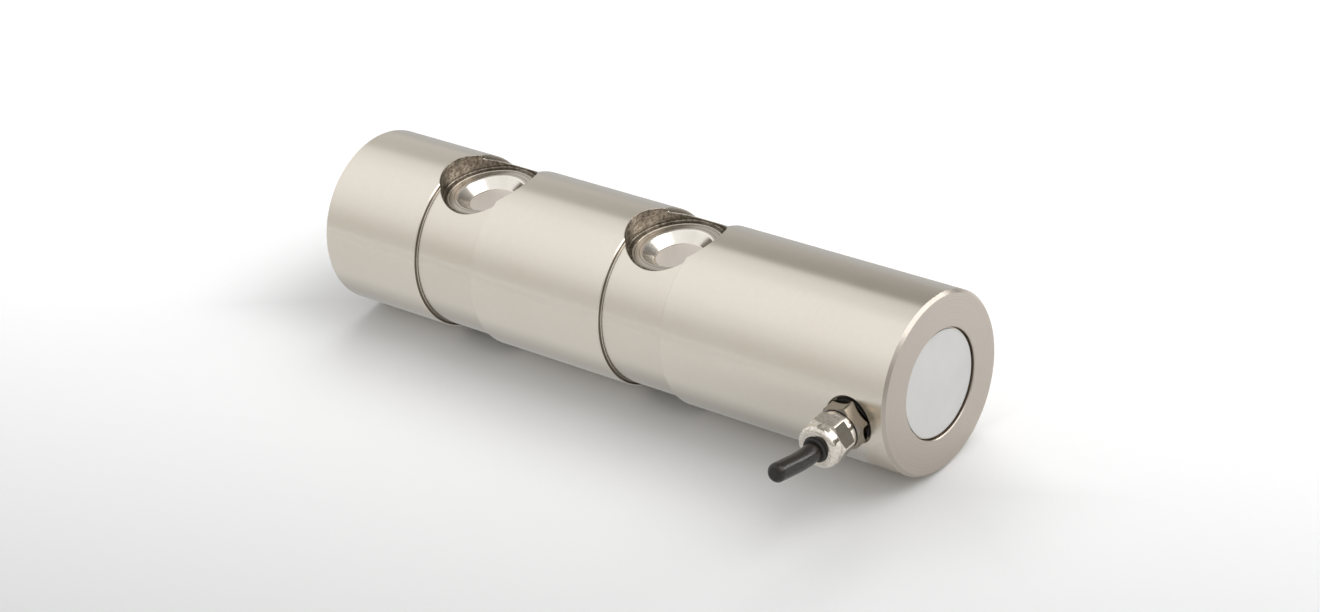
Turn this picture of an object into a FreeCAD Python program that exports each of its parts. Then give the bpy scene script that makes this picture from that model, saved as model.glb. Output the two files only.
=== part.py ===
import FreeCAD, Part
import math
import os

os.makedirs("parts", exist_ok=True)

# Shear pin load cell: a turned steel pin that is loaded in its middle land and carried in its two
# end lands. Millimetres, +Z up. The origin is on the pin's axis at the middle of the load land,
# +X runs to the cable end, the gauge pockets open to +Z and -Z, and the cable leaves to -Y.

# Turned pin
pin_diameter = 60.0
load_land_length = 55.5
plain_land_length = 42.0
cable_land_length = 87.5
groove_width = 25.5
groove_depth = 1.3
groove_corner_radius = 0.4
end_chamfer = 1.0
land_edge_break = 0.3

# Gauge pockets, two in each groove, sunk towards a shear web on the pin's axis. The side depth is
# that of the wall where it is lowest, at the two sides of the pin.
pocket_rim_diameter = 33.2
pocket_side_depth = 0.9
pocket_rim_radius = 0.2
pocket_corner_radius = 0.5
cup_seat_diameter = 30.0
cup_sink = 0.3
gauge_bore_diameter = 25.2
gauge_bore_corner = 1.5
web_thickness = 10.0

# Drawn steel cup that closes a pocket, with its flange sunk just below the pocket's floor
cup_wall = 0.8
cup_mouth_diameter = 23.0
cup_floor_diameter = 16.4
cup_depth = 3.3
cup_bend_radius = 0.4
cup_clearance = 0.05

# Strain gauge and solder terminal on each shear web
gauge_side = 9.0
gauge_thickness = 0.15
gauge_offset = 1.5
terminal_length = 6.0
terminal_width = 3.0
terminal_thickness = 0.4
terminal_offset = 6.5

# Wire looms in the two long drillings, which lie midway between web and cup or just inside the cavity
loom_diameter = 1.8
loom_spacing = 2.2
loom_bore_diameter = 5.0
loom_bore_margin = 0.9

# Cavity in the cable end, with its cover and label
cavity_diameter = 30.0
cavity_depth = 31.8
cover_diameter = 36.2
cover_thickness = 3.0
cover_recess = 1.2
cover_clearance = 0.05
cover_chamfer = 0.3
label_diameter = 34.8
label_thickness = 0.4

# Circuit board on four pillars at the cavity's floor
board_clearance = 1.0
board_thickness = 1.6
pillar_height = 4.5
pillar_diameter = 4.0
pillar_inset = 4.5
pillar_count = 4
stud_length = 5.0
screw_diameter = 2.4
screw_length = 4.5
screw_head_diameter = 4.4
screw_head_height = 1.5
screw_clearance = 0.05
board_hole_clearance = 0.15
resistor_diameter = 1.8
resistor_length = 6.5
resistor_pitch = 2.5
resistor_count = 4
core_pad_pitch = 3.0
loom_pad_drop = 2.9

# Cable gland, screwed into a spotface on the pin's side
gland_setback = 13.5
spotface_diameter = 16.6
spotface_depth = 1.8
spotface_rim_radius = 0.25
gland_thread_diameter = 12.0
gland_thread_length = 8.0
thread_clearance = 0.05
washer_diameter = 14.8
washer_thickness = 1.2
hex_across_flats = 14.0
hex_corner_diameter = 15.8
hex_chamfer_height = 0.6
hex_chamfer_width = 1.0
base_hex_height = 5.3
base_hex_phase = 14.0
neck_diameter = 12.4
neck_length = 5.5
neck_pocket_diameter = 9.4
neck_pocket_depth = 3.7
gland_bore_clearance = 0.4

# Cap nut of the gland, from its skirt to its domed nose
cap_gap = 0.3
cap_skirt_height = 2.1
cap_skirt_diameter = 13.4
cap_hex_height = 5.5
cap_hex_phase = 56.0
cap_shoulder_height = 1.6
cap_shoulder_diameter = 13.8
cap_dome_groove = 0.35
cap_dome_height = 2.2
cap_dome_diameter = 14.6
cap_dome_radius = 1.9
cap_mouth_diameter = 8.7
cap_mouth_length = 1.1
cap_cone_diameter = 11.6

# Clamping claw and rubber seal in the gland
claw_ring_height = 1.2
claw_wall = 0.7
claw_slot_width = 0.8
claw_slot_count = 8
claw_clearance = 0.1
seal_waist_wall = 0.8
seal_lip_diameter = 8.4
seal_lip_reach = 1.0

# Cable, from the cavity through the gland to its closed end
cable_diameter = 6.2
cable_jacket_wall = 0.65
cable_shield_wall = 0.25
cable_reach = 21.0
cable_rise_angle = 14.0
cable_bend_radius = 40.0
cable_end_radius = 2.0
cable_end_wall = 2.5
cable_tail_in_cavity = 2.0
core_diameter = 1.1
core_spacing = 1.5

X_AXIS = FreeCAD.Vector(1, 0, 0)
Y_AXIS = FreeCAD.Vector(0, 1, 0)
Z_AXIS = FreeCAD.Vector(0, 0, 1)
ORIGIN = FreeCAD.Vector(0, 0, 0)
GLAND_AXIS = FreeCAD.Vector(0, -1, 0)

# Stations along the pin and radii that several pieces share
pin_radius = pin_diameter / 2
groove_radius = pin_radius - groove_depth
half_load_land = load_land_length / 2
groove_centre = half_load_land + groove_width / 2
plain_end_x = -(half_load_land + groove_width + plain_land_length)
cable_end_x = half_load_land + groove_width + cable_land_length
pocket_side_height = math.sqrt(groove_radius ** 2 - (pocket_rim_diameter / 2) ** 2)
pocket_floor = pocket_side_height - pocket_side_depth
cup_flange_top = pocket_floor - cup_sink
cup_underside = cup_flange_top - cup_depth - cup_wall
web_face = web_thickness / 2
cover_face_x = cable_end_x - cover_recess
cover_seat_x = cover_face_x - cover_thickness
cavity_floor_x = cover_seat_x - cavity_depth
cavity_radius = cavity_diameter / 2
highest_loom = cavity_radius - loom_bore_diameter / 2 - loom_bore_margin
loom_height = min((web_face + cup_underside) / 2, highest_loom)
board_radius = cavity_radius - board_clearance
pillar_circle_radius = cavity_radius - pillar_inset
board_back_x = cavity_floor_x + pillar_height
board_face_x = board_back_x + board_thickness
gland_x = cable_end_x - gland_setback
spotface_floor = pin_radius - spotface_depth


def rounded_edges(corners, closed):
    """Edges through the corners, each (x, z, radius); a radius rounds its corner by a tangent arc."""
    points = [FreeCAD.Vector(x, 0, z) for x, z, radius in corners]
    count = len(points)
    starts = []
    ends = []
    edges = []
    for index, (x, z, radius) in enumerate(corners):
        corner = points[index]
        is_open_end = not closed and index in (0, count - 1)
        if radius == 0 or is_open_end:
            starts.append(corner)
            ends.append(corner)
            continue
        before = (points[index - 1] - corner).normalize()
        after = (points[(index + 1) % count] - corner).normalize()
        half_angle = before.getAngle(after) / 2
        bisector = (before + after).normalize()
        starts.append(corner + before * (radius / math.tan(half_angle)))
        ends.append(corner + after * (radius / math.tan(half_angle)))
        middle = corner + bisector * (radius / math.sin(half_angle) - radius)
        edges.append(Part.Arc(starts[-1], middle, ends[-1]).toShape())
    last = count if closed else count - 1
    for index in range(last):
        following = starts[(index + 1) % count]
        if ends[index].distanceToPoint(following) > 1e-6:
            edges.append(Part.LineSegment(ends[index], following).toShape())
    return Part.__sortEdges__(edges)


def turned(corners, direction, foot=ORIGIN):
    """Solid turned from an outline of (radius, height, corner radius) about a line through foot."""
    outline = Part.Wire(rounded_edges(corners, True))
    solid = Part.Face(outline).revolve(ORIGIN, Z_AXIS, 360)
    solid.Placement = FreeCAD.Placement(foot, FreeCAD.Rotation(Z_AXIS, direction))
    return solid


def rod(radius, start, end):
    """Plain cylinder between two points."""
    along = end - start
    return Part.makeCylinder(radius, along.Length, start, along)


def bent_wire(points, bend_radius=None):
    """Straight runs joined by tangent arcs, each as large as its two runs allow unless it is given."""
    edges = []
    start = points[0]
    for before, corner, after in zip(points, points[1:], points[2:]):
        back = before - corner
        ahead = after - corner
        half_angle = back.getAngle(ahead) / 2
        trim = 0.45 * min(back.Length, ahead.Length)
        if bend_radius:
            trim = bend_radius / math.tan(half_angle)
        radius = trim * math.tan(half_angle)
        back.normalize()
        ahead.normalize()
        bisector = (back + ahead).normalize()
        arc_start = corner + back * trim
        arc_end = corner + ahead * trim
        middle = corner + bisector * (radius / math.sin(half_angle) - radius)
        edges.append(Part.LineSegment(start, arc_start).toShape())
        edges.append(Part.Arc(arc_start, middle, arc_end).toShape())
        start = arc_end
    edges.append(Part.LineSegment(start, points[-1]).toShape())
    return Part.Wire(edges)


def tube(points, radius, bend_radius=None):
    """Round bar that follows the bent wire through the points."""
    circle = Part.makeCircle(radius, points[0], points[1] - points[0])
    return bent_wire(points, bend_radius).makePipeShell([Part.Wire(circle)], True, False)


def hexagon_prism(phase, bottom, top):
    """Hexagonal bar of the gland's key size about its local Z, with one corner at the phase angle."""
    corner_radius = hex_across_flats / 2 / math.cos(math.pi / 6)
    corners = []
    for index in range(7):
        angle = math.radians(phase + 60 * index)
        x = corner_radius * math.cos(angle)
        y = corner_radius * math.sin(angle)
        corners.append(FreeCAD.Vector(x, y, bottom))
    return Part.Face(Part.makePolygon(corners)).extrude(FreeCAD.Vector(0, 0, top - bottom))


def on_gland_axis(shape):
    """Move a shape made about its local Z onto the gland's axis, with heights from the pin's axis."""
    moved = shape.copy()
    foot = FreeCAD.Vector(gland_x, 0, 0)
    moved.Placement = FreeCAD.Placement(foot, FreeCAD.Rotation(Z_AXIS, GLAND_AXIS))
    return moved


def make_pocket_tool(centre_x, side):
    """Everything that one gauge pocket takes out of the pin: mouth, cup seat and gauge bore."""
    above = pin_radius + 1
    rim = pocket_rim_diameter / 2
    seat = cup_seat_diameter / 2
    bore = gauge_bore_diameter / 2
    outline = [
        (0, web_face, 0),
        (bore, web_face, gauge_bore_corner),
        (bore, cup_flange_top - cup_wall, 0),
        (seat, cup_flange_top - cup_wall, 0),
        (seat, pocket_floor, 0),
        (rim, pocket_floor, pocket_corner_radius),
        (rim, above, 0),
        (0, above, 0),
    ]
    return turned(outline, Z_AXIS * side, FreeCAD.Vector(centre_x, 0, 0))


def pillar_places():
    """Points on the cavity's floor where the board's pillars stand, clear of the loom notches."""
    places = []
    for index in range(pillar_count):
        angle = 2 * math.pi * (index + 0.5) / pillar_count
        y = pillar_circle_radius * math.cos(angle)
        z = pillar_circle_radius * math.sin(angle)
        places.append(FreeCAD.Vector(cavity_floor_x, y, z))
    return places


def edges_round_hole(body, centre, axis, radius, depth):
    """Edges that lie on a round hole's wall, further out from the centre than the depth along its axis."""
    found = []
    for edge in body.Edges:
        outside = True
        for point in edge.discretize(5):
            along = (point - centre).dot(axis)
            across = (point - centre - axis * along).Length
            if abs(across - radius) > 0.002 or along < depth:
                outside = False
        if outside:
            found.append(edge)
    return found


def make_pin_body():
    """Pin turned between centres, then milled for the pockets, drilled for the looms and tapped."""
    load_edge = half_load_land
    groove_edge = half_load_land + groove_width
    land_break = land_edge_break
    seat_radius = cover_diameter / 2
    outline = [
        (0, plain_end_x, 0),
        (pin_radius - end_chamfer, plain_end_x, 0),
        (pin_radius, plain_end_x + end_chamfer, 0),
        (pin_radius, -groove_edge - land_break, 0),
        (pin_radius - land_break, -groove_edge, 0),
        (groove_radius, -groove_edge, groove_corner_radius),
        (groove_radius, -load_edge, groove_corner_radius),
        (pin_radius - land_break, -load_edge, 0),
        (pin_radius, -load_edge + land_break, 0),
        (pin_radius, load_edge - land_break, 0),
        (pin_radius - land_break, load_edge, 0),
        (groove_radius, load_edge, groove_corner_radius),
        (groove_radius, groove_edge, groove_corner_radius),
        (pin_radius - land_break, groove_edge, 0),
        (pin_radius, groove_edge + land_break, 0),
        (pin_radius, cable_end_x - end_chamfer, 0),
        (pin_radius - end_chamfer, cable_end_x, 0),
        (seat_radius + cover_chamfer, cable_end_x, 0),
        (seat_radius, cable_end_x - cover_chamfer, 0),
        (seat_radius, cover_seat_x, 0),
        (cavity_radius, cover_seat_x, 0),
        (cavity_radius, cavity_floor_x, 0),
        (0, cavity_floor_x, 0),
    ]
    body = turned(outline, X_AXIS)
    cuts = []
    for centre_x in (-groove_centre, groove_centre):
        for side in (1, -1):
            cuts.append(make_pocket_tool(centre_x, side))
    for side in (1, -1):
        height = side * loom_height
        start = FreeCAD.Vector(-groove_centre, 0, height)
        end = FreeCAD.Vector(cavity_floor_x + 1, 0, height)
        cuts.append(rod(loom_bore_diameter / 2, start, end))
    for place in pillar_places():
        depth = X_AXIS * (stud_length + 0.5)
        cuts.append(rod(screw_diameter / 2 + screw_clearance, place - depth, place + X_AXIS))
    spotface = [
        (0, cavity_radius / 2, 0),
        (gland_thread_diameter / 2 + thread_clearance, cavity_radius / 2, 0),
        (gland_thread_diameter / 2 + thread_clearance, spotface_floor, 0),
        (spotface_diameter / 2, spotface_floor, 0),
        (spotface_diameter / 2, pin_radius + 1, 0),
        (0, pin_radius + 1, 0),
    ]
    cuts.append(on_gland_axis(turned(spotface, Z_AXIS)))
    body = body.cut(cuts)
    for centre_x in (-groove_centre, groove_centre):
        for side in (1, -1):
            centre = FreeCAD.Vector(centre_x, 0, 0)
            lowest = pocket_floor + pocket_corner_radius + pocket_rim_radius
            rim = edges_round_hole(body, centre, Z_AXIS * side, pocket_rim_diameter / 2, lowest)
            body = body.makeFillet(pocket_rim_radius, rim)
    centre = FreeCAD.Vector(gland_x, 0, 0)
    lowest = spotface_floor + spotface_rim_radius
    rim = edges_round_hole(body, centre, GLAND_AXIS, spotface_diameter / 2, lowest)
    return body.makeFillet(spotface_rim_radius, rim)


def make_cup(centre_x, side):
    """Cup pressed from sheet: a flat flange, a steep cone and a flat floor, all of one wall."""
    flange = cup_seat_diameter / 2 - cup_clearance
    mouth = cup_mouth_diameter / 2
    floor = cup_floor_diameter / 2
    lean = math.atan2(mouth - floor, cup_depth)
    shift = cup_wall * (1 - math.sin(lean)) / math.cos(lean)
    outer_bend = cup_bend_radius + cup_wall
    outline = [
        (0, cup_flange_top - cup_depth, 0),
        (floor, cup_flange_top - cup_depth, cup_bend_radius),
        (mouth, cup_flange_top, outer_bend),
        (flange, cup_flange_top, 0),
        (flange, cup_flange_top - cup_wall, 0),
        (mouth + shift, cup_flange_top - cup_wall, cup_bend_radius),
        (floor + shift, cup_underside, outer_bend),
        (0, cup_underside, 0),
    ]
    return turned(outline, Z_AXIS * side, FreeCAD.Vector(centre_x, 0, 0))


def make_web_plate(centre_x, side, length, width, thickness):
    """Thin plate bonded to a shear web, such as a gauge or a terminal strip."""
    base = web_face if side > 0 else -web_face - thickness
    corner = FreeCAD.Vector(centre_x - length / 2, -width / 2, base)
    return Part.makeBox(length, width, thickness, corner)


def make_loom(centre_x, side, lane):
    """Wire bundle from a terminal strip up into the drilling and round onto the circuit board."""
    start_x = centre_x - terminal_offset
    lane_y = lane * loom_spacing / 2
    loop_x = board_face_x + 3 * loom_diameter / 2
    pad_height = loom_height - loom_pad_drop
    stations = [
        (start_x, web_face + terminal_thickness),
        (start_x, loom_height),
        (loop_x, loom_height),
        (loop_x, pad_height),
        (board_face_x, pad_height),
    ]
    points = [FreeCAD.Vector(x, lane_y, side * z) for x, z in stations]
    return tube(points, loom_diameter / 2)


def make_circuit_board():
    """Round glass-fibre board with a notch for each loom and a hole at each pillar."""
    back = FreeCAD.Vector(board_back_x, 0, 0)
    board = Part.makeCylinder(board_radius, board_thickness, back, X_AXIS)
    cuts = []
    for side in (1, -1):
        slot_width = loom_bore_diameter
        slot_start = FreeCAD.Vector(board_back_x, 0, side * loom_height)
        through = slot_start + X_AXIS * board_thickness
        cuts.append(rod(slot_width / 2, slot_start, through))
        low = loom_height if side > 0 else -loom_height - board_radius
        corner = FreeCAD.Vector(board_back_x, -slot_width / 2, low)
        cuts.append(Part.makeBox(board_thickness, slot_width, board_radius, corner))
    hole_radius = screw_diameter / 2 + board_hole_clearance
    for place in pillar_places():
        hole_back = place + X_AXIS * pillar_height
        cuts.append(rod(hole_radius, hole_back, hole_back + X_AXIS * board_thickness))
    return board.cut(cuts)


def make_board_pillars():
    """Round pillars, each with a stud into the cavity's floor and a tapped hole for its screw."""
    pillars = []
    for place in pillar_places():
        top = place + X_AXIS * pillar_height
        pillar = rod(pillar_diameter / 2, place, top)
        pillar = pillar.fuse(rod(screw_diameter / 2, place - X_AXIS * stud_length, place))
        hole_end = top - X_AXIS * (screw_length - board_thickness + 0.5)
        pillars.append(pillar.cut(rod(screw_diameter / 2 + screw_clearance, hole_end, top)))
    return Part.makeCompound(pillars)


def make_board_screws():
    """Pan-head screws that hold the board down on its pillars."""
    screws = []
    for place in pillar_places():
        face = place + X_AXIS * (pillar_height + board_thickness)
        outline = [
            (0, -screw_length, 0),
            (screw_diameter / 2, -screw_length, 0),
            (screw_diameter / 2, 0, 0),
            (screw_head_diameter / 2, 0, 0),
            (screw_head_diameter / 2, screw_head_height, screw_head_height / 2),
            (0, screw_head_height, 0),
        ]
        screws.append(turned(outline, X_AXIS, face))
    return Part.makeCompound(screws)


def make_trim_resistors():
    """Bridge balance resistors, lying side by side on the board's face."""
    resistors = []
    for index in range(resistor_count):
        y = -resistor_diameter - index * resistor_pitch
        x = board_face_x + resistor_diameter / 2
        start = FreeCAD.Vector(x, y, -resistor_length / 2)
        resistors.append(rod(resistor_diameter / 2, start, start + Z_AXIS * resistor_length))
    return Part.makeCompound(resistors)


def make_end_cover():
    """Turned steel disc that closes the cavity on its seat below the end face."""
    radius = cover_diameter / 2 - cover_clearance
    outline = [
        (0, cover_seat_x, 0),
        (radius, cover_seat_x, 0),
        (radius, cover_face_x - cover_chamfer, 0),
        (radius - cover_chamfer, cover_face_x, 0),
        (0, cover_face_x, 0),
    ]
    return turned(outline, X_AXIS)


def make_label_plate():
    """Bare anodised disc stuck to the cover."""
    back = FreeCAD.Vector(cover_face_x, 0, 0)
    return Part.makeCylinder(label_diameter / 2, label_thickness, back, X_AXIS)


# Heights of the gland's pieces, from the pin's axis outwards
washer_top = spotface_floor + washer_thickness
base_hex_top = washer_top + base_hex_height
neck_top = base_hex_top + neck_length
cap_bottom = base_hex_top + cap_gap
cap_hex_bottom = cap_bottom + cap_skirt_height
cap_hex_top = cap_hex_bottom + cap_hex_height
cap_shoulder_top = cap_hex_top + cap_shoulder_height
cap_top = cap_shoulder_top + cap_dome_groove + cap_dome_height
cap_throat = cap_top - cap_mouth_length
claw_bottom = neck_top + claw_clearance
claw_ring_top = claw_bottom + claw_ring_height
claw_top = cap_throat - claw_clearance
cable_radius = cable_diameter / 2
claw_inner_radius = cable_radius + seal_waist_wall + claw_clearance
claw_tip_radius = claw_inner_radius + claw_wall
claw_ring_radius = neck_diameter / 2 - claw_clearance
cap_thread_radius = neck_diameter / 2 + claw_clearance
seal_top = cap_top + seal_lip_reach


def chamfered_hexagon(phase, bottom, top, chamfer_both_ends):
    """Hexagon whose corners are turned back to a cone at its front, and at its back if asked."""
    corner = hex_corner_diameter / 2
    back = corner
    if chamfer_both_ends:
        back = corner - hex_chamfer_width
    blank = [
        (0, bottom, 0),
        (back, bottom, 0),
        (corner, bottom + hex_chamfer_height, 0),
        (corner, top - hex_chamfer_height, 0),
        (corner - hex_chamfer_width, top, 0),
        (0, top, 0),
    ]
    return hexagon_prism(phase, bottom, top).common(turned(blank, Z_AXIS))


def make_gland_washer():
    """Flat sealing ring between the spotface and the gland's hexagon."""
    inner = gland_thread_diameter / 2 + thread_clearance
    bottom = FreeCAD.Vector(0, 0, spotface_floor)
    ring = Part.makeCylinder(washer_diameter / 2, washer_thickness, bottom, Z_AXIS)
    return on_gland_axis(ring.cut(Part.makeCylinder(inner, washer_thickness, bottom, Z_AXIS)))


def make_gland_body():
    """Gland body: threaded stem, chamfered hexagon and a neck that takes the seal and the cap."""
    stem_bottom = spotface_floor - gland_thread_length
    bore = cable_radius + gland_bore_clearance
    pocket = neck_pocket_diameter / 2
    hexagon = chamfered_hexagon(base_hex_phase, washer_top, base_hex_top, False)
    stem = Part.makeCylinder(
        gland_thread_diameter / 2, washer_top - stem_bottom, FreeCAD.Vector(0, 0, stem_bottom), Z_AXIS)
    neck = Part.makeCylinder(neck_diameter / 2, neck_length, FreeCAD.Vector(0, 0, base_hex_top), Z_AXIS)
    hollow = [
        (0, stem_bottom - 1, 0),
        (bore, stem_bottom - 1, 0),
        (bore, neck_top - neck_pocket_depth, 0),
        (pocket, neck_top - neck_pocket_depth, 0),
        (pocket, neck_top + 1, 0),
        (0, neck_top + 1, 0),
    ]
    return on_gland_axis(hexagon.fuse([stem, neck]).removeSplitter().cut(turned(hollow, Z_AXIS)))


def make_gland_seal():
    """Rubber seal: a foot in the neck, a waist inside the claw and a lip that stands out of the cap."""
    foot = neck_pocket_diameter / 2 - claw_clearance
    waist = cable_radius + seal_waist_wall
    outline = [
        (cable_radius, neck_top - neck_pocket_depth, 0),
        (foot, neck_top - neck_pocket_depth, 0),
        (foot, neck_top, 0),
        (waist, neck_top, 0),
        (waist, cap_throat, 0),
        (seal_lip_diameter / 2, cap_throat, 0),
        (seal_lip_diameter / 2, seal_top, seal_lip_reach / 2),
        (cable_radius, seal_top, 0),
    ]
    return on_gland_axis(turned(outline, Z_AXIS))


def make_gland_claw():
    """Clamping claw: a ring with slotted fingers that lean in along the cap's inner cone."""
    root_radius = cap_cone_diameter / 2 - claw_clearance
    outline = [
        (claw_inner_radius, claw_bottom, 0),
        (claw_ring_radius, claw_bottom, 0),
        (claw_ring_radius, claw_ring_top, 0),
        (root_radius, claw_ring_top, 0),
        (claw_tip_radius, claw_top, 0),
        (claw_inner_radius, claw_top, 0),
    ]
    claw = turned(outline, Z_AXIS)
    slots = []
    for index in range(claw_slot_count):
        corner = FreeCAD.Vector(0, -claw_slot_width / 2, claw_ring_top)
        slot = Part.makeBox(neck_diameter, claw_slot_width, claw_top - claw_bottom, corner)
        slot.rotate(ORIGIN, Z_AXIS, 360 * index / claw_slot_count)
        slots.append(slot)
    return on_gland_axis(claw.cut(slots))


def make_gland_cap():
    """Cap nut: round skirt, chamfered hexagon, turned shoulder and a domed nose round the mouth."""
    skirt = cap_skirt_diameter / 2
    shoulder = cap_shoulder_diameter / 2
    dome = cap_dome_diameter / 2
    mouth = cap_mouth_diameter / 2
    dome_bottom = cap_shoulder_top + cap_dome_groove
    round_parts = [
        (0, cap_bottom, 0),
        (skirt, cap_bottom, 0),
        (skirt, cap_hex_bottom, 0),
        (skirt, cap_hex_top, 0),
        (shoulder, cap_hex_top, 0),
        (shoulder, cap_shoulder_top, 0),
        (shoulder - cap_dome_groove, cap_shoulder_top, 0),
        (shoulder - cap_dome_groove, dome_bottom, 0),
        (dome, dome_bottom, cap_dome_groove / 2),
        (dome, cap_top, cap_dome_radius),
        (0, cap_top, 0),
    ]
    hollow = [
        (0, cap_bottom - 1, 0),
        (cap_thread_radius, cap_bottom - 1, 0),
        (cap_thread_radius, claw_ring_top + claw_clearance, 0),
        (cap_cone_diameter / 2, claw_ring_top + claw_clearance, 0),
        (claw_tip_radius + claw_clearance, cap_throat, 0),
        (mouth, cap_throat, 0),
        (mouth, cap_top + 1, 0),
        (0, cap_top + 1, 0),
    ]
    hexagon = chamfered_hexagon(cap_hex_phase, cap_hex_bottom, cap_hex_top, True)
    blank = turned(round_parts, Z_AXIS).fuse(hexagon)
    return on_gland_axis(blank.cut(turned(hollow, Z_AXIS)))


# The cable leaves the gland straight, then rises a little; angles are taken from -Y towards +Z
rise = math.radians(cable_rise_angle)
rise_direction = FreeCAD.Vector(0, -math.cos(rise), math.sin(rise))
bend_trim = cable_bend_radius * math.tan(rise / 2)
bend_height = seal_top + bend_trim
tail_height = spotface_floor - gland_thread_length - cable_tail_in_cavity
end_run = cable_reach - (bend_height - cap_top)


def cable_route(side_shift, rise_shift, end_trim):
    """Corner points of a line in the cable, shifted sideways and upwards from the cable's middle."""
    tail = FreeCAD.Vector(gland_x + side_shift, -tail_height, rise_shift)
    lean = math.tan(rise / 2)
    corner = FreeCAD.Vector(gland_x + side_shift, -bend_height + rise_shift * lean, rise_shift)
    square = FreeCAD.Vector(0, math.sin(rise), math.cos(rise))
    middle_end = FreeCAD.Vector(gland_x + side_shift, -bend_height, 0)
    end = middle_end + rise_direction * (end_run - end_trim) + square * rise_shift
    return [end, corner, tail]


def make_cable_jacket():
    """Outer sheath of the cable, closed and rounded at its free end."""
    outer = tube(cable_route(0, 0, 0), cable_radius, cable_bend_radius)
    end = cable_route(0, 0, 0)[0]
    rim = [edge for edge in outer.Edges if edge.BoundBox.Center.distanceToPoint(end) < 0.01]
    outer = outer.makeFillet(cable_end_radius, rim[:1])
    hollow_route = cable_route(0, 0, cable_end_wall)
    hollow_route[-1] = hollow_route[-1] + Y_AXIS
    hollow = tube(hollow_route, cable_radius - cable_jacket_wall, cable_bend_radius)
    return outer.cut(hollow)


def make_cable_shield():
    """Braided screen under the sheath."""
    outer_radius = cable_radius - cable_jacket_wall
    route = cable_route(0, 0, cable_end_wall)
    outer = tube(route, outer_radius, cable_bend_radius)
    long_route = cable_route(0, 0, cable_end_wall - 1)
    long_route[-1] = long_route[-1] + Y_AXIS
    return outer.cut(tube(long_route, outer_radius - cable_shield_wall, cable_bend_radius))


def make_core(side, level, rank):
    """One insulated core: along the cable, out of its tail and across the cavity to its pad."""
    side_shift = side * core_spacing / 2
    rise_shift = level * core_spacing / 2
    route = cable_route(side_shift, rise_shift, cable_end_wall)
    pad_z = level * core_pad_pitch * (rank - 0.5)
    start_x = gland_x + side_shift
    fan_y = -tail_height + 3 * cable_diameter / 2
    pad_y = core_pad_pitch * rank
    cavity_points = [
        FreeCAD.Vector(start_x, fan_y - cable_diameter / 2, rise_shift),
        FreeCAD.Vector((start_x + board_face_x) / 2, pad_y, pad_z),
        FreeCAD.Vector(board_face_x, pad_y, pad_z),
    ]
    straight = tube(route[:2] + [cavity_points[0]], core_diameter / 2, cable_bend_radius)
    fan = tube(cavity_points, core_diameter / 2)
    return straight.fuse(fan)


nodes = {"pin_body": make_pin_body()}
pocket_names = {
    "plain_top": (-groove_centre, 1, 1),
    "plain_bottom": (-groove_centre, -1, 1),
    "cable_top": (groove_centre, 1, -1),
    "cable_bottom": (groove_centre, -1, -1),
}
for name, (centre_x, side, lane) in pocket_names.items():
    nodes["pocket_cup_" + name] = make_cup(centre_x, side)
    gauge_x = centre_x + gauge_offset
    terminal_x = centre_x - terminal_offset
    nodes["strain_gauge_" + name] = make_web_plate(gauge_x, side, gauge_side, gauge_side, gauge_thickness)
    nodes["solder_terminal_" + name] = make_web_plate(
        terminal_x, side, terminal_width, terminal_length, terminal_thickness)
    nodes["wire_loom_" + name] = make_loom(centre_x, side, lane)

nodes["circuit_board"] = make_circuit_board()
nodes["board_pillars"] = make_board_pillars()
nodes["board_screws"] = make_board_screws()
nodes["trim_resistors"] = make_trim_resistors()
nodes["end_cover"] = make_end_cover()
nodes["label_plate"] = make_label_plate()
nodes["gland_washer"] = make_gland_washer()
nodes["gland_body"] = make_gland_body()
nodes["gland_seal"] = make_gland_seal()
nodes["gland_claw"] = make_gland_claw()
nodes["gland_cap_nut"] = make_gland_cap()
nodes["cable_jacket"] = make_cable_jacket()
nodes["cable_shield"] = make_cable_shield()
nodes["core_red"] = make_core(1, 1, 2)
nodes["core_white"] = make_core(-1, 1, 1)
nodes["core_green"] = make_core(-1, -1, 1)
nodes["core_black"] = make_core(1, -1, 2)

for name, shape in nodes.items():
    shape.exportStep("parts/" + name + ".step")
    print(name, len(shape.Solids), shape.isValid(), round(shape.Volume, 2))
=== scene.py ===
import math

import bpy
from mathutils import Matrix, Vector


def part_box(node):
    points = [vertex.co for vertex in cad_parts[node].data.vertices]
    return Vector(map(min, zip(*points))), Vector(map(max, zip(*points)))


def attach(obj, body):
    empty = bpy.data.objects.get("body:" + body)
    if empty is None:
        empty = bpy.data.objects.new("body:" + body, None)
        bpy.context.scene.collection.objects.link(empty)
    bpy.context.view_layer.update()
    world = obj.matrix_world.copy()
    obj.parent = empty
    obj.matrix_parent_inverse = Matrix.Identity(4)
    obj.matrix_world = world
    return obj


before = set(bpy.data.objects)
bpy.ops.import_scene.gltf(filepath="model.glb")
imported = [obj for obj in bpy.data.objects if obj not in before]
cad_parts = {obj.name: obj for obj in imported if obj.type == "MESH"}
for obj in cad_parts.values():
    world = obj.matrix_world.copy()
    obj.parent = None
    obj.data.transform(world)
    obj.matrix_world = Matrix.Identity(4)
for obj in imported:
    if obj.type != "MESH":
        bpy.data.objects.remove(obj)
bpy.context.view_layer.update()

# Pin body. One bar of stainless steel, turned between centres with its lands ground to a satin skin.
# The two end faces are faced on the lathe, and the grooves are turned a little rougher than the lands.
# The pockets and the gland's spotface are milled afterwards, so their walls are coarser, and they are painted
# darker as shade.
MM = 0.001
POCKET_CENTRE = 40.5 * MM
POCKET_RADIUS = 16.6 * MM
LAND_RADIUS = 30 * MM
RECESS_RADIUS = 18.1 * MM
GROOVE_DEPTH = 1.3 * MM
GROOVE_HALF_WIDTH = 12.75 * MM
PLAIN_END = -95.25 * MM
CABLE_END = 140.75 * MM
GROUND_SKIN_STARTS = 1.01 * MM
END_CHAMFER_STARTS = 0.95 * MM
GLAND_PLACE = 127.25 * MM
SPOTFACE_RADIUS = 8.3 * MM
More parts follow.
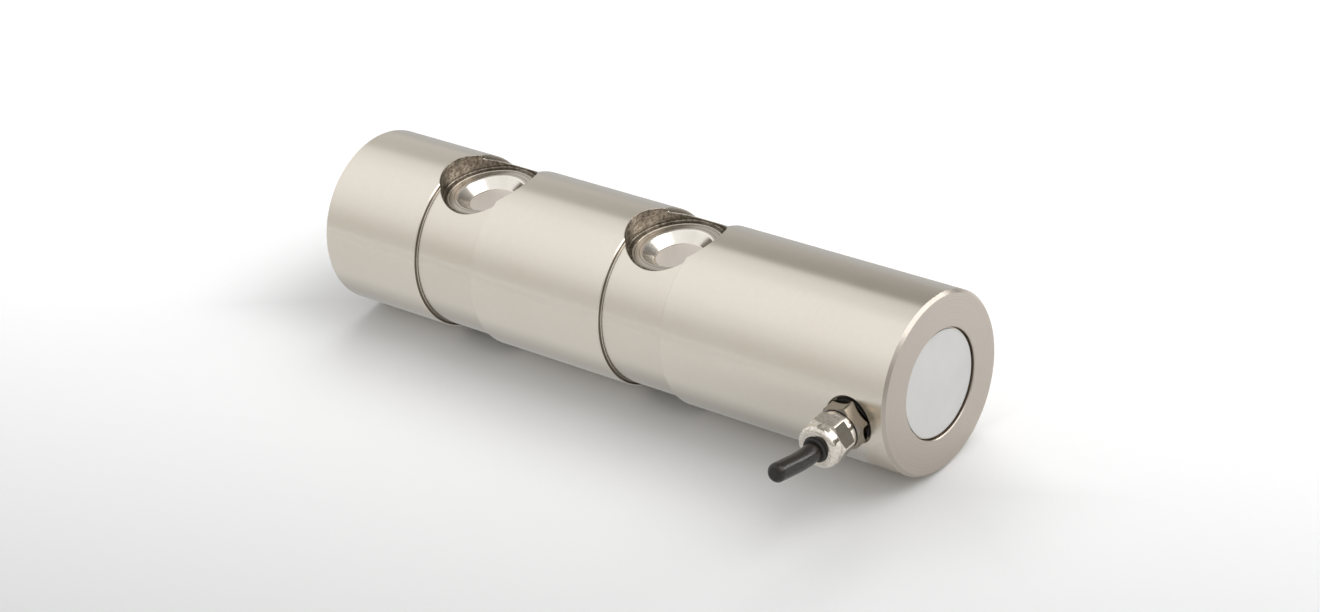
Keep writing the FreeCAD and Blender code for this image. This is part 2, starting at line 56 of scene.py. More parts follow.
CUTTER_REACH = 0.12 * MM
CUTTER_CUT = 0.04 * MM
TURNING_PITCH = 0.35
CHATTER_PITCH = 3.5
CUTTER_PITCH = 0.4
SKIN_RELIEF = 0.02
GROUND_STEEL = (0.80, 0.745, 0.655)
GROUND_STEEL_PALE = (0.83, 0.775, 0.69)
FACED_STEEL = (0.45, 0.405, 0.355)
FACED_STEEL_PALE = (0.51, 0.46, 0.41)
TURNED_STEEL = (0.66, 0.605, 0.52)
# Walls of the pockets and the spotface, with their dark tones painted as shade in these hollows
MILLED_WALL_PAINTED_SHADE = (0.11, 0.09, 0.065)
MILLED_WALL_PAINTED_SHADE_PALE = (0.56, 0.505, 0.435)
SPOTFACE_PAINTED_SHADE = (0.17, 0.145, 0.115)
SPOTFACE_PAINTED_SHADE_PALE = (0.24, 0.21, 0.165)
# Painted shade in the corners of the grooves
GROOVE_CORNER_PAINTED_SHADE = (0.20, 0.17, 0.135)
# Painted shade on the bore of the end recess
BORE_PAINTED_SHADE = (0.24, 0.205, 0.165)


def shader_socket(finish, name):
    """One of the sockets on the finish's shader."""
    return finish.node_tree.nodes["Principled BSDF"].inputs[name]


def plain_value(finish, name, value):
    """Set what is the same all over the surface, on the shader's own socket."""
    shader_socket(finish, name).default_value = value


def start_finish(name, colour, metallic, roughness):
    """A new finish, with its plain values on the shader's own sockets."""
    finish = bpy.data.materials.new(name)
    finish.use_nodes = True
    plain_value(finish, "Base Color", (*colour, 1))
    plain_value(finish, "Metallic", metallic)
    plain_value(finish, "Roughness", roughness)
    return finish


def carry(finish, source, socket):
    """Lead a node's result, or else a plain number or colour, into a socket."""
    if hasattr(source, "links"):
        finish.node_tree.links.new(source, socket)
    elif isinstance(source, tuple):
        socket.default_value = (*source, 1)
    else:
        socket.default_value = source


def reckon(finish, operation, *values):
    """One step of arithmetic on distances or shares."""
    node = finish.node_tree.nodes.new("ShaderNodeMath")
    node.operation = operation
    for value, socket in zip(values, node.inputs):
        carry(finish, value, socket)
    return node.outputs[0]


def place_on(finish):
    """Where a point lies, in the piece's own frame."""
    return finish.node_tree.nodes.new("ShaderNodeTexCoord").outputs["Object"]


def along_across_up(finish, place):
    """How far a place lies along the pin, across it and up, in metres."""
    split = finish.node_tree.nodes.new("ShaderNodeSeparateXYZ")
    carry(finish, place, split.inputs[0])
    return split.outputs[0], split.outputs[1], split.outputs[2]


def distance_from_axis(finish, first, second):
    """How far a point lies from an axis, given its two offsets from it."""
    first_square = reckon(finish, "MULTIPLY", first, first)
    second_square = reckon(finish, "MULTIPLY", second, second)
    return reckon(finish, "SQRT", reckon(finish, "ADD", first_square, second_square))


def mottling(finish, place, patch, detail=3.0):
    """Soft uneven patches of about the given size in millimetres."""
    node = finish.node_tree.nodes.new("ShaderNodeTexNoise")
    node.inputs["Scale"].default_value = 1 / (patch * MM)
    node.inputs["Detail"].default_value = detail
    node.inputs["Roughness"].default_value = 0.55
    carry(finish, place, node.inputs["Vector"])
    return node.outputs["Fac"]


def tool_lines(finish, distance, pitch, detail=2.0):
    """Lines that a cutting edge leaves along a distance, with a pitch in millimetres."""
    node = finish.node_tree.nodes.new("ShaderNodeTexNoise")
    node.noise_dimensions = "1D"
    node.inputs["Scale"].default_value = 1 / (pitch * MM)
    node.inputs["Detail"].default_value = detail
    carry(finish, distance, node.inputs["W"])
    return node.outputs["Fac"]


def ranging(finish, pattern, low, high):
    """Spread a pattern, which mostly lies between a quarter and three quarters, from low to high."""
    node = finish.node_tree.nodes.new("ShaderNodeMapRange")
    node.inputs["From Min"].default_value = 0.25
    node.inputs["From Max"].default_value = 0.75
    node.inputs["To Min"].default_value = low
    node.inputs["To Max"].default_value = high
    carry(finish, pattern, node.inputs["Value"])
    return node.outputs[0]


def soft_step(finish, value, start, end):
    """Share that goes from none at start to all at end."""
    node = finish.node_tree.nodes.new("ShaderNodeMapRange")
    node.interpolation_type = "SMOOTHSTEP"
    node.inputs["From Min"].default_value = start
    node.inputs["From Max"].default_value = end
    carry(finish, value, node.inputs["Value"])
    return node.outputs[0]


def blend_tones(finish, share, first, second):
    """First tone where the share is none, second where it is all. The node's sockets 6 and 7 are colours."""
    node = finish.node_tree.nodes.new("ShaderNodeMix")
    node.data_type = "RGBA"
    carry(finish, share, node.inputs[0])
    carry(finish, first, node.inputs[6])
    carry(finish, second, node.inputs[7])
    return node.outputs[2]


def two_toned(finish, pattern, first, second):
    """A surface that varies between two tones by a pattern."""
    return blend_tones(finish, ranging(finish, pattern, 0, 1), first, second)


def tone_and_gloss(finish, tone, roughness):
    """Set a worked-out colour and roughness on the finish."""
    carry(finish, tone, shader_socket(finish, "Base Color"))
    carry(finish, roughness, shader_socket(finish, "Roughness"))


def relief(finish, height, strength, depth):
    """Raise the surface by a pattern, with a depth in millimetres."""
    node = finish.node_tree.nodes.new("ShaderNodeBump")
    node.inputs["Strength"].default_value = strength
    node.inputs["Distance"].default_value = depth * MM
    carry(finish, height, node.inputs["Height"])
    carry(finish, node.outputs[0], shader_socket(finish, "Normal"))


def dress(finish, *names):
    """Give the finish to carried-over pieces."""
    for name in names:
        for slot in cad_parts[name].material_slots:
            slot.material = finish


pin_steel = start_finish("satin_pin_steel", GROUND_STEEL, 1.0, 0.28)
place = place_on(pin_steel)
along, across, up = along_across_up(pin_steel, place)
from_pin_axis = distance_from_axis(pin_steel, across, up)
turning_path = reckon(pin_steel, "ADD", along, from_pin_axis)
fine_lines = tool_lines(pin_steel, turning_path, TURNING_PITCH)
broad_lines = tool_lines(pin_steel, turning_path, CHATTER_PITCH, 3)
skin_clouds = mottling(pin_steel, place, 30, 4)
skin_specks = mottling(pin_steel, place, 1.6, 2)
# The skin of the lands and the faced ends, with painted shade on the bore of the recess
ground_tone = two_toned(pin_steel, skin_clouds, GROUND_STEEL, GROUND_STEEL_PALE)
ground_tone = blend_tones(pin_steel, ranging(pin_steel, fine_lines, 0, 0.16), ground_tone, TURNED_STEEL)
ground_tone = blend_tones(pin_steel, ranging(pin_steel, skin_specks, 0, 0.12), ground_tone, TURNED_STEEL)
faced_tone = two_toned(pin_steel, fine_lines, FACED_STEEL, FACED_STEEL_PALE)
past_plain_end = soft_step(pin_steel, along, PLAIN_END + GROUND_SKIN_STARTS, PLAIN_END + END_CHAMFER_STARTS)
past_cable_end = soft_step(pin_steel, along, CABLE_END - GROUND_SKIN_STARTS, CABLE_END - END_CHAMFER_STARTS)
on_end_face = reckon(pin_steel, "MAXIMUM", past_plain_end, past_cable_end)
tone = blend_tones(pin_steel, on_end_face, ground_tone, faced_tone)
painted_shade_in_bore = soft_step(pin_steel, from_pin_axis, RECESS_RADIUS + 0.08 * MM, RECESS_RADIUS + 0.03 * MM)
painted_shade_in_bore = reckon(pin_steel, "MULTIPLY", painted_shade_in_bore, reckon(pin_steel, "GREATER_THAN", along, POCKET_CENTRE))
tone = blend_tones(pin_steel, painted_shade_in_bore, tone, BORE_PAINTED_SHADE)
# The grooves, with a dark line of painted shade in each corner
beside_pocket = reckon(pin_steel, "SUBTRACT", reckon(pin_steel, "ABSOLUTE", along), POCKET_CENTRE)
beside_groove = reckon(pin_steel, "ABSOLUTE", beside_pocket)
near_groove = soft_step(pin_steel, beside_groove, 20 * MM, 18 * MM)
in_groove = soft_step(pin_steel, from_pin_axis, LAND_RADIUS - 0.4 * MM, LAND_RADIUS - GROOVE_DEPTH)
in_groove = reckon(pin_steel, "MULTIPLY", in_groove, near_groove)
tone = blend_tones(pin_steel, reckon(pin_steel, "MULTIPLY", in_groove, 0.12), tone, TURNED_STEEL)
painted_shade_on_groove_corner = soft_step(
    pin_steel, beside_groove, GROOVE_HALF_WIDTH - 0.25 * MM, GROOVE_HALF_WIDTH - 0.10 * MM)
below_land = soft_step(pin_steel, from_pin_axis, LAND_RADIUS - 0.28 * MM, LAND_RADIUS - 0.36 * MM)
painted_shade_on_groove_corner = reckon(pin_steel, "MULTIPLY", painted_shade_on_groove_corner, below_land)
painted_shade_on_groove_corner = reckon(pin_steel, "MULTIPLY", painted_shade_on_groove_corner, near_groove)
tone = blend_tones(pin_steel, painted_shade_on_groove_corner, tone, GROOVE_CORNER_PAINTED_SHADE)
# The milled walls of the pockets and the spotface: real cutter marks over a dark tone of painted shade
from_pocket = distance_from_axis(pin_steel, beside_pocket, across)
in_pocket = soft_step(pin_steel, from_pocket, POCKET_RADIUS + CUTTER_REACH, POCKET_RADIUS + CUTTER_CUT)
beside_gland = reckon(pin_steel, "SUBTRACT", along, GLAND_PLACE)
from_gland = distance_from_axis(pin_steel, beside_gland, up)
in_spotface = soft_step(pin_steel, from_gland, SPOTFACE_RADIUS + CUTTER_REACH, SPOTFACE_RADIUS + CUTTER_CUT)
in_spotface = reckon(pin_steel, "MULTIPLY", in_spotface, reckon(pin_steel, "LESS_THAN", across, 0.0))
milled_and_painted_shade = reckon(pin_steel, "MAXIMUM", in_pocket, in_spotface)
cutter_path = reckon(pin_steel, "ADD", from_pocket, reckon(pin_steel, "ABSOLUTE", up))
cutter_lines = tool_lines(pin_steel, cutter_path, CUTTER_PITCH, 3)
cutter_stains = mottling(pin_steel, place, 1.1, 8)
cutter_shade = reckon(pin_steel, "MULTIPLY", ranging(pin_steel, cutter_stains, -0.25, 1.25),
                      ranging(pin_steel, cutter_lines, 0.25, 1))
milled_tone_painted_shade = blend_tones(pin_steel, cutter_shade, MILLED_WALL_PAINTED_SHADE, MILLED_WALL_PAINTED_SHADE_PALE)
spotface_tone_painted_shade = two_toned(pin_steel, cutter_stains, SPOTFACE_PAINTED_SHADE, SPOTFACE_PAINTED_SHADE_PALE)
milled_tone_painted_shade = blend_tones(pin_steel, in_spotface, milled_tone_painted_shade, spotface_tone_painted_shade)
tone = blend_tones(pin_steel, milled_and_painted_shade, tone, milled_tone_painted_shade)
# The gloss, which the turning draws out round the pin
skin_roughness = ranging(pin_steel, skin_clouds, 0.20, 0.24)
rougher_places = reckon(pin_steel, "ADD", reckon(pin_steel, "MULTIPLY", milled_and_painted_shade, 0.08),
                        reckon(pin_steel, "MULTIPLY", on_end_face, 0.12))
tone_and_gloss(pin_steel, tone, reckon(pin_steel, "ADD", skin_roughness, rougher_places))
skin_relief = blend_tones(pin_steel, 0.3, fine_lines, broad_lines)
relief(pin_steel, blend_tones(pin_steel, milled_and_painted_shade, skin_relief, cutter_lines), 0.06, SKIN_RELIEF)
plain_value(pin_steel, "Anisotropic", 0.35)
plain_value(pin_steel, "Anisotropic Rotation", 0.25)
turning_direction = pin_steel.node_tree.nodes.new("ShaderNodeTangent")
turning_direction.direction_type = "RADIAL"
turning_direction.axis = "X"
carry(pin_steel, turning_direction.outputs[0], shader_socket(pin_steel, "Tangent"))
dress(pin_steel, "pin_body")

# Strain gauges and solder terminals. On each shear web, a foil gauge in amber film is bonded beside a
# small strip of glass-fibre laminate with tinned copper pads. Both are covered in clear lacquer.
POCKETS = ("plain_top", "plain_bottom", "cable_top", "cable_bottom")
AMBER_FILM = (0.62, 0.36, 0.08)
AMBER_FILM_DARK = (0.5, 0.25, 0.05)
FOIL_GRID = (0.46, 0.40, 0.34)
FOIL_PITCH = 0.7
TINNED_COPPER = (0.78, 0.55, 0.38)
SOLDER_GREY = (0.72, 0.70, 0.66)
PAD_PITCH = 2.0


def ripple(finish, distance, pitch):
    """A wave along a distance, with a pitch in millimetres."""
    return reckon(finish, "SINE", reckon(finish, "MULTIPLY", distance, 2 * math.pi / (pitch * MM)))


gauge_film = start_finish("gauge_film", AMBER_FILM, 0.0, 0.3)
place = place_on(gauge_film)
along, across, up = along_across_up(gauge_film, place)
grid_slant = reckon(gauge_film, "ADD", reckon(gauge_film, "ABSOLUTE", across), along)
grid_loops = soft_step(gauge_film, ripple(gauge_film, grid_slant, FOIL_PITCH), 0.0, 0.4)
film_clouds = ranging(gauge_film, mottling(gauge_film, place, 4), 0, 0.3)
film_tone = blend_tones(gauge_film, film_clouds, AMBER_FILM, AMBER_FILM_DARK)
tone_and_gloss(gauge_film, blend_tones(gauge_film, grid_loops, film_tone, FOIL_GRID),
               ranging(gauge_film, mottling(gauge_film, place, 1), 0.22, 0.38))
plain_value(gauge_film, "Coat Weight", 0.4)
dress(gauge_film, *["strain_gauge_" + pocket for pocket in POCKETS])

terminal_copper = start_finish("terminal_copper", TINNED_COPPER, 1.0, 0.35)
place = place_on(terminal_copper)
along, across, up = along_across_up(terminal_copper, place)
solder = soft_step(terminal_copper, ripple(terminal_copper, across, PAD_PITCH), -0.2, 0.2)
tone_and_gloss(terminal_copper, blend_tones(terminal_copper, solder, TINNED_COPPER, SOLDER_GREY),
               ranging(terminal_copper, mottling(terminal_copper, place, 0.8), 0.25, 0.45))
relief(terminal_copper, mottling(terminal_copper, place, 0.5), 0.2, 0.05)
dress(terminal_copper, *["solder_terminal_" + pocket for pocket in POCKETS])

# Wire looms. Each is a bundle of fine wires in a woven glass sleeve, drawn through a long drilling
# from its gauge pocket to the cavity and looped down onto the circuit board.
SLEEVE_CREAM = (0.72, 0.69, 0.62)
SLEEVE_SHADE = (0.52, 0.49, 0.43)
SLEEVE_PITCH = 1.2083


def woven(finish, first, second, pitch):
    """Threads laid both ways across each other, with a pitch in millimetres."""
    lay_left = ripple(finish, reckon(finish, "ADD", first, second), pitch)
    lay_right = ripple(finish, reckon(finish, "SUBTRACT", first, second), pitch)
    return reckon(finish, "MULTIPLY", lay_left, lay_right)


loom_sleeve = start_finish("woven_loom_sleeve", SLEEVE_CREAM, 0.0, 0.7)
place = place_on(loom_sleeve)
along, across, up = along_across_up(loom_sleeve, place)
sleeve_weave = woven(loom_sleeve, along, across, SLEEVE_PITCH)
raised_threads = soft_step(loom_sleeve, sleeve_weave, -0.5, 0.6)
tone_and_gloss(loom_sleeve, blend_tones(loom_sleeve, raised_threads, SLEEVE_SHADE, SLEEVE_CREAM),
               ranging(loom_sleeve, mottling(loom_sleeve, place, 2), 0.6, 0.8))
relief(loom_sleeve, sleeve_weave, 0.3, 0.08)
dress(loom_sleeve, *["wire_loom_" + pocket for pocket in POCKETS])

# Pocket cups. Each is pressed from thin stainless sheet: a flat flange, a steep cone and a flat floor.
# The die polishes the cone. The flange shows its rings and mirrors the pocket's dark wall, and the
# floor is matt.
CUP_STEEL = (0.83, 0.785, 0.715)
CUP_STEEL_PALE = (0.90, 0.86, 0.79)
CUP_FLOOR_STEEL = (0.93, 0.87, 0.815)
CUP_FLANGE_STEEL = (0.50, 0.45, 0.395)
CUP_FLANGE_PALE = (0.95, 0.895, 0.83)
CUP_MOUTH_RADIUS = 11.5 * MM
CUP_FLOOR_RADIUS = 8.2 * MM
DIE_PITCH = 0.55

cup_steel = start_finish("drawn_cup_steel", CUP_STEEL, 1.0, 0.16)
place = place_on(cup_steel)
along, across, up = along_across_up(cup_steel, place)
beside_cup = reckon(cup_steel, "SUBTRACT", reckon(cup_steel, "ABSOLUTE", along), POCKET_CENTRE)
from_cup = distance_from_axis(cup_steel, beside_cup, across)
die_path = reckon(cup_steel, "ADD", from_cup, reckon(cup_steel, "ABSOLUTE", up))
die_lines = tool_lines(cup_steel, die_path, DIE_PITCH, 3)
die_haze = mottling(cup_steel, place, 4)
on_flange = soft_step(cup_steel, from_cup, CUP_MOUTH_RADIUS, CUP_MOUTH_RADIUS + 0.6 * MM)
on_floor = soft_step(cup_steel, from_cup, CUP_FLOOR_RADIUS - 0.25 * MM, CUP_FLOOR_RADIUS - 0.5 * MM)
cup_tone = two_toned(cup_steel, die_haze, CUP_STEEL, CUP_STEEL_PALE)
flange_rings = ranging(cup_steel, die_lines, -0.3, 1.3)
flange_tone = blend_tones(cup_steel, flange_rings, CUP_FLANGE_STEEL, CUP_FLANGE_PALE)
cup_tone = blend_tones(cup_steel, on_flange, cup_tone, flange_tone)
cup_tone = blend_tones(cup_steel, on_floor, cup_tone, CUP_FLOOR_STEEL)
duller_places = reckon(cup_steel, "ADD", reckon(cup_steel, "MULTIPLY", on_flange, 0.12),
                       reckon(cup_steel, "MULTIPLY", on_floor, 0.36))
cup_roughness = reckon(cup_steel, "ADD", ranging(cup_steel, die_haze, 0.16, 0.22), duller_places)
tone_and_gloss(cup_steel, cup_tone, cup_roughness)
relief(cup_steel, die_lines, 0.08, 0.02)
dress(cup_steel, *["pocket_cup_" + pocket for pocket in POCKETS])

# Cup welds. The laser runs once round each flange and leaves a low seam of overlapping spots, which
# keeps the gauges below it dry. The seam is shaped once, as a flattened ring whose every second
# section is drawn in, and copied to each cup.
WELD_RADIUS = 15.0 * MM
WELD_HEIGHT = 22.22 * MM
WELD_HALF_WIDTH = 0.42 * MM
WELD_FLATNESS = 0.55
WELD_SPOTS = 150
WELD_SIDES = 8
WELD_DIP = 0.12
WELD_STEEL = (0.52, 0.475, 0.40)
WELD_STEEL_PALE = (0.70, 0.66, 0.59)

weld_steel = start_finish("laser_weld_steel", WELD_STEEL, 1.0, 0.3)
place = place_on(weld_steel)
weld_heat = mottling(weld_steel, place, 1.5, 3)
tone_and_gloss(weld_steel, two_toned(weld_steel, weld_heat, WELD_STEEL, WELD_STEEL_PALE),
               ranging(weld_steel, weld_heat, 0.24, 0.40))
relief(weld_steel, mottling(weld_steel, place, 0.3), 0.1, 0.03)

bpy.ops.object.select_all(action="DESELECT")
bpy.ops.mesh.primitive_torus_add(
    major_segments=WELD_SPOTS * 2, minor_segments=WELD_SIDES,
    major_radius=WELD_RADIUS, minor_radius=WELD_HALF_WIDTH)
first_seam = bpy.context.object
bpy.ops.object.mode_set(mode="EDIT")
bpy.ops.mesh.select_all(action="DESELECT")
bpy.ops.object.mode_set(mode="OBJECT")
for vertex in first_seam.data.vertices:
    vertex.select = (vertex.index // WELD_SIDES) % 2 == 0
bpy.ops.object.mode_set(mode="EDIT")
bpy.ops.transform.shrink_fatten(value=-WELD_DIP * WELD_HALF_WIDTH)
bpy.ops.mesh.select_all(action="SELECT")
bpy.ops.transform.resize(value=(1, 1, WELD_FLATNESS), center_override=(0, 0, 0))
bpy.ops.object.mode_set(mode="OBJECT")
bpy.ops.object.shade_smooth()
first_seam.data.materials.append(weld_steel)


def lay_weld(name, centre):
    """A copy of the seam, with its own mesh, round the cup at the centre."""
    bpy.ops.object.select_all(action="DESELECT")
    first_seam.select_set(True)
    bpy.context.view_layer.objects.active = first_seam
    bpy.ops.object.duplicate()
    seam = bpy.context.object
    seam.name = name
    bpy.ops.transform.translate(value=centre)
    bpy.ops.object.transform_apply(location=True, rotation=True, scale=True)
    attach(seam, "root")
    return seam


for pocket in POCKETS:
    end = -1 if "plain" in pocket else 1
    side = 1 if "top" in pocket else -1
    cup_weld = lay_weld("cup_weld_" + pocket, (end * POCKET_CENTRE, 0, side * WELD_HEIGHT))
bpy.data.objects.remove(first_seam)

# Circuit board. A round glass-fibre board in green lacquer stands on four turned brass pillars at the
# cavity's floor, held by zinc-plated screws, and carries the bridge's four trim resistors.
BOARD_GREEN = (0.03, 0.20, 0.07)
BOARD_GREEN_DARK = (0.02, 0.13, 0.05)
TRACK_GREEN = (0.08, 0.33, 0.12)
TRACK_PITCH = 2.6
BRASS = (0.80, 0.62, 0.30)
BRASS_DARK = (0.70, 0.52, 0.24)
BRASS_PALE = (0.84, 0.66, 0.34)
ZINC = (0.66, 0.67, 0.68)
ZINC_DULL = (0.56, 0.58, 0.60)
ZINC_PALE = (0.72, 0.72, 0.70)
RESISTOR_BLUE = (0.16, 0.34, 0.50)
RESISTOR_BLUE_DARK = (0.13, 0.29, 0.44)
RESISTOR_BLUE_PALE = (0.19, 0.38, 0.54)
RESISTOR_BAND = (0.25, 0.12, 0.05)
BAND_PITCH = 1.3

board_green = start_finish("board_lacquer", BOARD_GREEN, 0.0, 0.32)
place = place_on(board_green)
along, across, up = along_across_up(board_green, place)
tracks = soft_step(board_green, ripple(board_green, up, TRACK_PITCH), 0.55, 0.7)
board_tone = two_toned(board_green, mottling(board_green, place, 1.2), BOARD_GREEN_DARK, BOARD_GREEN)
tone_and_gloss(board_green, blend_tones(board_green, tracks, board_tone, TRACK_GREEN),
               ranging(board_green, mottling(board_green, place, 3), 0.25, 0.4))
relief(board_green, tracks, 0.2, 0.04)
dress(board_green, "circuit_board")

pillar_brass = start_finish("turned_brass", BRASS, 1.0, 0.28)
place = place_on(pillar_brass)
along, across, up = along_across_up(pillar_brass, place)
brass_lines = tool_lines(pillar_brass, along, 0.2)
tone_and_gloss(pillar_brass, two_toned(pillar_brass, brass_lines, BRASS_DARK, BRASS_PALE),
               ranging(pillar_brass, mottling(pillar_brass, place, 2), 0.22, 0.36))
relief(pillar_brass, brass_lines, 0.1, 0.02)
dress(pillar_brass, "board_pillars")

screw_zinc = start_finish("zinc_plate", ZINC, 1.0, 0.34)
place = place_on(screw_zinc)
zinc_bloom = mottling(screw_zinc, place, 0.9)
tone_and_gloss(screw_zinc, two_toned(screw_zinc, zinc_bloom, ZINC_DULL, ZINC_PALE),
               ranging(screw_zinc, zinc_bloom, 0.26, 0.44))
dress(screw_zinc, "board_screws")

resistor_blue = start_finish("resistor_lacquer", RESISTOR_BLUE, 0.0, 0.25)
place = place_on(resistor_blue)
along, across, up = along_across_up(resistor_blue, place)
band = soft_step(resistor_blue, ripple(resistor_blue, up, BAND_PITCH), 0.7, 0.8)
lacquer_clouds = mottling(resistor_blue, place, 1)
lacquer_tone = two_toned(resistor_blue, lacquer_clouds, RESISTOR_BLUE_DARK, RESISTOR_BLUE_PALE)
tone_and_gloss(resistor_blue, blend_tones(resistor_blue, band, lacquer_tone, RESISTOR_BAND),
               ranging(resistor_blue, mottling(resistor_blue, place, 2), 0.2, 0.32))
dress(resistor_blue, "trim_resistors")

# End cover and label plate. The cover is a turned disc of the pin's own steel that closes the cavity
# below the end face. The plate stuck on it is bare, pale, matt anodised aluminium.
COVER_PITCH = 0.3
LABEL_GREY = (0.63, 0.625, 0.61)
LABEL_GREY_PALE = (0.69, 0.685, 0.67)
LABEL_GRAIN = (0.58, 0.58, 0.57)
LABEL_GRAIN_PITCH = 0.12

cover_steel = start_finish("turned_cover_steel", FACED_STEEL, 1.0, 0.34)
place = place_on(cover_steel)
along, across, up = along_across_up(cover_steel, place)
facing_path = reckon(cover_steel, "ADD", distance_from_axis(cover_steel, across, up), along)
cover_lines = tool_lines(cover_steel, facing_path, COVER_PITCH)
tone_and_gloss(cover_steel, two_toned(cover_steel, cover_lines, TURNED_STEEL, FACED_STEEL_PALE),
               ranging(cover_steel, mottling(cover_steel, place, 6), 0.28, 0.4))
relief(cover_steel, cover_lines, 0.1, 0.02)
dress(cover_steel, "end_cover")

label_grey = start_finish("anodised_label", LABEL_GREY, 0.0, 0.45)
place = place_on(label_grey)
along, across, up = along_across_up(label_grey, place)
rolled_grain = tool_lines(label_grey, up, LABEL_GRAIN_PITCH, 3)
matt_etch = mottling(label_grey, place, 0.35, 2)
label_tone = two_toned(label_grey, mottling(label_grey, place, 12), LABEL_GREY, LABEL_GREY_PALE)
label_tone = blend_tones(label_grey, ranging(label_grey, rolled_grain, 0, 0.25), label_tone, LABEL_GRAIN)
tone_and_gloss(label_grey, label_tone, ranging(label_grey, matt_etch, 0.38, 0.5))
relief(label_grey, matt_etch, 0.06, 0.02)
plain_value(label_grey, "Specular IOR Level", 0.6)
dress(label_grey, "label_plate")

# Cable cores, screen and sheath. Four insulated cores lie in a tinned braid under a black sheath. The
# sheath is smooth and slightly rubbed, and its free end is sealed over.
CORE_COLOURS = {
    "core_red": (0.45, 0.03, 0.025),
    "core_white": (0.74, 0.74, 0.70),
    "core_green": (0.03, 0.24, 0.07),
    "core_black": (0.02, 0.02, 0.02),
}
BRAID_TIN = (0.68, 0.67, 0.65)
BRAID_SHADE = (0.36, 0.35, 0.33)
BRAID_PALE = (0.74, 0.73, 0.70)
BRAID_PITCH = 1.496
SHEATH_BLACK = (0.008, 0.006, 0.005)
SHEATH_RUBBED = (0.024, 0.018, 0.014)

for core, colour in CORE_COLOURS.items():
    core_skin = start_finish(core + "_skin", colour, 0.0, 0.38)
    place = place_on(core_skin)
    powder = mottling(core_skin, place, 1.5)
    worn = tuple(0.85 * part + 0.05 for part in colour)
    tone_and_gloss(core_skin, two_toned(core_skin, powder, colour, worn),
                   ranging(core_skin, powder, 0.3, 0.46))
    dress(core_skin, core)

tinned_braid = start_finish("tinned_braid", BRAID_TIN, 1.0, 0.36)
place = place_on(tinned_braid)
along, across, up = along_across_up(tinned_braid, place)
braid_weave = woven(tinned_braid, across, along, BRAID_PITCH)
raised_wires = soft_step(tinned_braid, braid_weave, -0.4, 0.5)
tone_and_gloss(tinned_braid, blend_tones(tinned_braid, raised_wires, BRAID_SHADE, BRAID_PALE),
               ranging(tinned_braid, mottling(tinned_braid, place, 1), 0.3, 0.45))
relief(tinned_braid, braid_weave, 0.4, 0.1)
dress(tinned_braid, "cable_shield")

cable_sheath = start_finish("cable_sheath", SHEATH_BLACK, 0.0, 0.42)
place = place_on(cable_sheath)
rubbing = mottling(cable_sheath, place, 2.5, 4)
sheath_grain = mottling(cable_sheath, place, 0.35, 3)
tone_and_gloss(cable_sheath, two_toned(cable_sheath, rubbing, SHEATH_BLACK, SHEATH_RUBBED),
               ranging(cable_sheath, sheath_grain, 0.25, 0.35))
relief(cable_sheath, sheath_grain, 0.2, 0.04)
plain_value(cable_sheath, "Specular IOR Level", 0.45)
dress(cable_sheath, "cable_jacket")

# Cable gland. Body and cap nut are turned from hexagon brass bar and nickel plated. A flat rubber
# washer seals it to the spotface, and the nut squeezes a nylon claw and a rubber seal onto the cable.
NICKEL = (0.60, 0.54, 0.46)
NICKEL_PALE = (0.84, 0.795, 0.725)
# Painted shade on the gland's base hexagon, next to the pin
NICKEL_PAINTED_SHADE = (0.22, 0.19, 0.155)
BASE_HEX_TOP = -36.2 * MM
BASE_HEX_FULL_PAINTED_SHADE = -35.0 * MM
RUBBER = (0.018, 0.016, 0.015)
RUBBER_DARK = (0.014, 0.013, 0.012)
RUBBER_DUSTY = (0.026, 0.024, 0.022)
NYLON = (0.05, 0.05, 0.05)
NYLON_DARK = (0.04, 0.04, 0.04)
NYLON_PALE = (0.07, 0.07, 0.07)

nickel = start_finish("bright_nickel", NICKEL, 1.0, 0.13)
place = place_on(nickel)
along, across, up = along_across_up(nickel, place)
from_gland = distance_from_axis(nickel, reckon(nickel, "SUBTRACT", along, GLAND_PLACE), up)
turned_nickel = tool_lines(nickel, reckon(nickel, "ADD", across, from_gland), 0.25)
plating = mottling(nickel, place, 0.8, 6)
nickel_tone = blend_tones(nickel, ranging(nickel, plating, -0.1, 1.2), NICKEL, NICKEL_PALE)
# The base hexagon, next to the pin, is painted darker as shade
painted_shade_on_base_hexagon = soft_step(nickel, across, BASE_HEX_TOP, BASE_HEX_FULL_PAINTED_SHADE)
nickel_tone = blend_tones(nickel, reckon(nickel, "MULTIPLY", painted_shade_on_base_hexagon, 0.88), nickel_tone, NICKEL_PAINTED_SHADE)
tone_and_gloss(nickel, nickel_tone, ranging(nickel, plating, 0.14, 0.07))
relief(nickel, turned_nickel, 0.05, 0.02)
dress(nickel, "gland_body", "gland_cap_nut")

seal_rubber = start_finish("seal_rubber", RUBBER, 0.0, 0.55)
place = place_on(seal_rubber)
rubber_grain = mottling(seal_rubber, place, 0.4)
tone_and_gloss(seal_rubber, two_toned(seal_rubber, rubber_grain, RUBBER_DARK, RUBBER_DUSTY),
               ranging(seal_rubber, rubber_grain, 0.45, 0.62))
relief(seal_rubber, rubber_grain, 0.15, 0.03)
dress(seal_rubber, "gland_washer", "gland_seal")

claw_nylon = start_finish("claw_nylon", NYLON, 0.0, 0.4)
place = place_on(claw_nylon)
nylon_flow = mottling(claw_nylon, place, 1.5)
tone_and_gloss(claw_nylon, two_toned(claw_nylon, nylon_flow, NYLON_DARK, NYLON_PALE),
               ranging(claw_nylon, nylon_flow, 0.32, 0.5))
dress(claw_nylon, "gland_claw")

